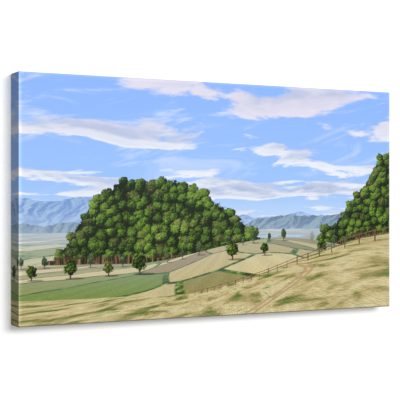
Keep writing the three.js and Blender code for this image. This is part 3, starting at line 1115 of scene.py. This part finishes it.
TACK_HEAD = 0.7 * MM
TACK_SHANK = 0.7 * MM
for node in ("tack_left", "tack_right"):
    low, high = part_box(node)
    head = (high.x - low.x) / 2
    outline = rounded([
        (0, high.y), (head * 0.62, high.y - 0.1 * MM), (head, high.y - 0.42 * MM),
        (head, high.y - TACK_HEAD), (TACK_SHANK, high.y - TACK_HEAD),
        (TACK_SHANK, low.y + 2 * MM), (0, low.y),
    ], 0.12 * MM, 4)
    middle = ((low.x + high.x) / 2, (low.z + high.z) / 2)
    dress(node, "steel_", turned_mesh(outline, middle, 32), zinc)

rubber = pad_surface()
for node in ("pad_left", "pad_right"):
    low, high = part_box(node)
    reach = (high.x - low.x) / 2
    outline = rounded([
        (0, high.y), (reach - 1.4 * MM, high.y), (reach, high.y - 1.5 * MM), (reach, low.y), (0, low.y),
    ], 0.9 * MM, 6)
    middle = ((low.x + high.x) / 2, (low.z + high.z) / 2)
    dress(node, "rubber_", turned_mesh(outline, middle, 48), rubber)


# Staples and loose threads, each strewn from one or a few shapes

def strewn(name, spots, shapes, material):
    """Copies of the shapes at (place, turn, size) spots, made by a node group and kept as one mesh."""
    places, turns, sizes = zip(*spots)
    carrier = new_mesh(name + "_spots", places, [])
    turn_each = carrier.attributes.new("turn", "FLOAT_VECTOR", "POINT")
    turn_each.data.foreach_set("vector", [value for turn in turns for value in turn])
    size_each = carrier.attributes.new("size", "FLOAT", "POINT")
    size_each.data.foreach_set("value", sizes)
    holder = new_object(name, carrier)
    stock = bpy.data.collections.new(name + "_shapes")
    for shape in shapes:
        stock.objects.link(bpy.data.objects.new(shape.name, shape))
    group = bpy.data.node_groups.new(name, "GeometryNodeTree")
    new_socket = group.interface.new_socket
    new_socket("Geometry", in_out="OUTPUT", socket_type="NodeSocketGeometry")
    new_socket("Geometry", in_out="INPUT", socket_type="NodeSocketGeometry")
    shapes_input = new_socket("Shapes", in_out="INPUT", socket_type="NodeSocketCollection")
    material_input = new_socket("Material", in_out="INPUT", socket_type="NodeSocketMaterial")
    make = partial(step, tree=group)
    attribute = partial(make, "GeometryNodeInputNamedAttribute", out="Attribute")
    entry = make("NodeGroupInput", {}).socket.node.outputs
    chosen = {"Collection": Mark(entry["Shapes"]), "Separate Children": True, "Reset Children": True}
    pick = {"Min": 0, "Max": len(shapes) - 1, "Seed": 4}
    placed = make("GeometryNodeInstanceOnPoints", {
        "Points": Mark(entry["Geometry"]),
        "Instance": make("GeometryNodeCollectionInfo", chosen),
        "Pick Instance": True,
        "Instance Index": make("FunctionNodeRandomValue", pick, "Value", data_type="INT"),
        "Rotation": attribute({"Name": "turn"}, data_type="FLOAT_VECTOR"),
        "Scale": attribute({"Name": "size"}, data_type="FLOAT"),
    })
    real = make("GeometryNodeRealizeInstances", {0: placed})
    finished = make("GeometryNodeSetMaterial", {"Geometry": real, "Material": Mark(entry["Material"])})
    fill(group.nodes.new("NodeGroupOutput"), {"Geometry": finished})
    strew = holder.modifiers.new("strew", "NODES")
    strew.node_group = group
    strew[shapes_input.identifier] = stock
    strew[material_input.identifier] = material
    bpy.context.view_layer.update()
    seen = holder.evaluated_get(bpy.context.evaluated_depsgraph_get())
    mesh = bpy.data.meshes.new_from_object(seen)
    mesh.name = name
    holder.modifiers.clear()
    holder.data = mesh
    for shape in list(stock.objects):
        bpy.data.objects.remove(shape)
    bpy.data.collections.remove(stock)
    return holder


def tube_faces(rings, sides):
    """The faces of a closed tube whose points come ring by ring."""
    faces = []
    for n in range(rings - 1):
        for i in range(sides):
            j = (i + 1) % sides
            faces.append([n * sides + i, n * sides + j, (n + 1) * sides + j, (n + 1) * sides + i])
    faces.append(list(range(sides))[::-1])
    faces.append(list(range((rings - 1) * sides, rings * sides)))
    return faces


STAPLE_CROWN = 11 * MM
STAPLE_LEG = 2.6 * MM
STAPLE_BEND = 0.9 * MM
STAPLE_BEND_STEPS = 5
WIRE_WIDE = 1.25 * MM
WIRE_THICK = 0.55 * MM
WIRE_CORNER = 0.14 * MM
STAPLE_SHARP_FROM = math.radians(50)


def staple_shape():
    """Flat wire with two legs, its crown along X and its legs towards -Y."""
    half = STAPLE_CROWN / 2
    spine = [(-half, -STAPLE_LEG)]
    for i in range(STAPLE_BEND_STEPS + 1):
        angle = i / STAPLE_BEND_STEPS * math.pi / 2
        spine.append((-half + STAPLE_BEND * (1 - math.cos(angle)), STAPLE_BEND * (math.sin(angle) - 1)))
    spine += [(-x, y) for x, y in reversed(spine)]
    wide, thick = WIRE_WIDE / 2, WIRE_THICK / 2
    flat_wide, flat_thick = wide - WIRE_CORNER, thick - WIRE_CORNER
    section = [
        (-flat_wide, thick), (flat_wide, thick), (wide, flat_thick), (wide, -flat_thick),
        (flat_wide, -thick), (-flat_wide, -thick), (-wide, -flat_thick), (-wide, flat_thick),
    ]
    points = []
    for n, (x, y) in enumerate(spine):
        before = Vector(spine[max(n - 1, 0)])
        after = Vector(spine[min(n + 1, len(spine) - 1)])
        way = (after - before).normalized()
        points += [(x - way.y * up, y + way.x * up, across) for across, up in section]
    mesh = new_mesh("staple_shape", points, tube_faces(len(spine), len(section)))
    shade_smooth(mesh)
    mesh.set_sharp_from_angle(angle=STAPLE_SHARP_FROM)
    return mesh


rng = np.random.default_rng(21)
spots = []
for (x, z), turn in STAPLES:
    place = (x, BACK + 0.1 * MM + rng.uniform(0, 0.25) * MM, z + MIDDLE)
    spots.append((place, (rng.uniform(-0.05, 0.05), turn, rng.uniform(-0.04, 0.04)), 1.0))
staples = strewn("staples", spots, [staple_shape()], zinc)
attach(staples, "root")

THREADS = 420
# Each form's length and curl
THREAD_FORMS = [(7 * MM, 1.6 * MM), (5 * MM, -1.2 * MM), (4 * MM, 2.2 * MM), (9 * MM, -2.6 * MM)]
THREAD_RADIUS = 0.17 * MM
THREAD_SIDES = 5
THREAD_STEPS = 7
# The shortest piece of the cut edge that a thread starts from
SHORTEST_EDGE = 0.8 * MM


def thread_shape(number, length, curl):
    """A loose thread that starts at the origin and runs along X, wandering to both sides."""
    points = []
    for n in range(THREAD_STEPS + 1):
        t = n / THREAD_STEPS
        middle = Vector((
            length * t, curl * t * t * 0.35 + 0.3 * MM * math.sin(5 * t + number),
            curl * math.sin(2.6 * t + number) * t,
        ))
        radius = THREAD_RADIUS * (1 - 0.35 * t)
        for i in range(THREAD_SIDES):
            angle = 2 * math.pi * i / THREAD_SIDES
            points.append(middle + Vector((0, math.cos(angle), math.sin(angle))) * radius)
    mesh = new_mesh(f"thread_shape_{number}", points, tube_faces(THREAD_STEPS + 1, THREAD_SIDES))
    shade_smooth(mesh)
    return mesh


def thread_surface():
    material, shader = new_material("cotton_thread")
    twist = clouded(own_place(shader), 1800, 3, 0.6, space="3D")
    fill(shader, {"Base Color": blend(twist, rgb(206, 196, 174), rgb(240, 236, 226)), "Roughness": 0.9})
    return material


spots = []
for _ in range(THREADS):
    n = int(rng.integers(len(cut_edge)))
    start, end = cut_edge[n], cut_edge[(n + 1) % len(cut_edge)]
    if (end - start).length < SHORTEST_EDGE:
        continue
    place = start.lerp(end, rng.uniform(0, 1)) + Vector((0, -CLOTH * rng.uniform(0.2, 0.8), 0))
    inwards = Vector((start.z - end.z, 0, end.x - start.x)).normalized()
    if inwards.dot(Vector((0, 0, MIDDLE)) - place) < 0:
        inwards = -inwards
    turn = math.atan2(-inwards.z, inwards.x) + rng.normal(0, 0.55)
    size = rng.uniform(0.35, 1.0) ** 1.6
    spots.append((place - inwards * 0.5 * MM, (rng.uniform(-0.4, 0.4), turn, rng.uniform(0.0, 0.12)), size))
thread_shapes = [thread_shape(number, *form) for number, form in enumerate(THREAD_FORMS)]
threads = strewn("loose_threads", spots, thread_shapes, thread_surface())
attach(threads, "root")


# Stage: floor, wall and light

FLOOR_HEIGHT = -1.6
HALL = 6.0
# The wall stands this much behind the plane that the picture hangs against
WALL_GAP = 0.4 * MM


def stage_plane(name, start, end, material):
    """A plane as wide as the hall, between two lines across it that are given by their (y, z)."""
    corners = [(-HALL, *start), (HALL, *start), (HALL, *end), (-HALL, *end)]
    mesh = new_mesh(name, corners, [(0, 1, 2, 3)])
    mesh.materials.append(material)
    plane = new_object(name, mesh)
    plane.visible_diffuse = False
    plane.visible_glossy = False
    plane.visible_transmission = False
    return plane


def floor_surface():
    material, shader = new_material("pale_floor")
    fill(shader, {
        "Base Color": (0.8, 0.8, 0.79),
        "Roughness": 0.7,
        "Emission Color": (1, 1, 0.99),
        "Emission Strength": 0.22,
    })
    return material


def wall_surface():
    """White from the front, and nothing at all from behind, so that the picture's back can be seen."""
    material, shader = new_material("white_wall")
    fill(shader, {
        "Base Color": (0.9, 0.9, 0.9),
        "Roughness": 0.9,
        "Specular IOR Level": 0.0,
        "Emission Color": (1, 1, 1),
        "Emission Strength": 0.17,
    })
    tree = material.node_tree
    behind = step("ShaderNodeNewGeometry", {}, "Backfacing", tree)
    clear = step("ShaderNodeBsdfTransparent", {}, tree=tree)
    mixed = step("ShaderNodeMixShader", {0: behind, 1: Mark(shader.outputs[0]), 2: clear})
    fill(tree.nodes["Material Output"], {"Surface": mixed})
    return material


stage_plane("floor", (-HALL, FLOOR_HEIGHT), (HALL, FLOOR_HEIGHT), floor_surface())
wall = stage_plane("wall", (WALL_GAP, FLOOR_HEIGHT), (WALL_GAP, HALL), wall_surface())
wall.visible_shadow = False


def soft_light(name, place, size, power):
    """An oval lamp that faces the middle of the picture. Its size is its width and height."""
    data = bpy.data.lights.new(name, "AREA")
    data.shape = "ELLIPSE"
    data.size, data.size_y = size
    data.energy = power
    light = new_object(name, data)
    light.location = place
    aim = Vector((0, FRONT, MIDDLE)) - light.location
    light.rotation_euler = aim.to_track_quat("-Z", "Y").to_euler()


soft_light("key", place=(0.12, -3.1, 0.5), size=(1.75, 0.9), power=77)
soft_light("back fill", place=(0.9, 2.4, 0.5), size=(0.9, 0.9), power=44)

# The room looks paler than the light it gives
ROOM_LIGHT = 0.33
ROOM_SEEN = 0.88

world = bpy.data.worlds.new("studio")
world.use_nodes = True
seen_by_camera = step("ShaderNodeLightPath", {}, "Is Camera Ray", world.node_tree)
fill(world.node_tree.nodes["Background"], {
    "Color": (0.97, 0.98, 1.0),
    "Strength": between(ROOM_LIGHT, ROOM_SEEN, seen_by_camera),
})
bpy.context.scene.world = world
bpy.context.scene.view_settings.view_transform = "Standard"
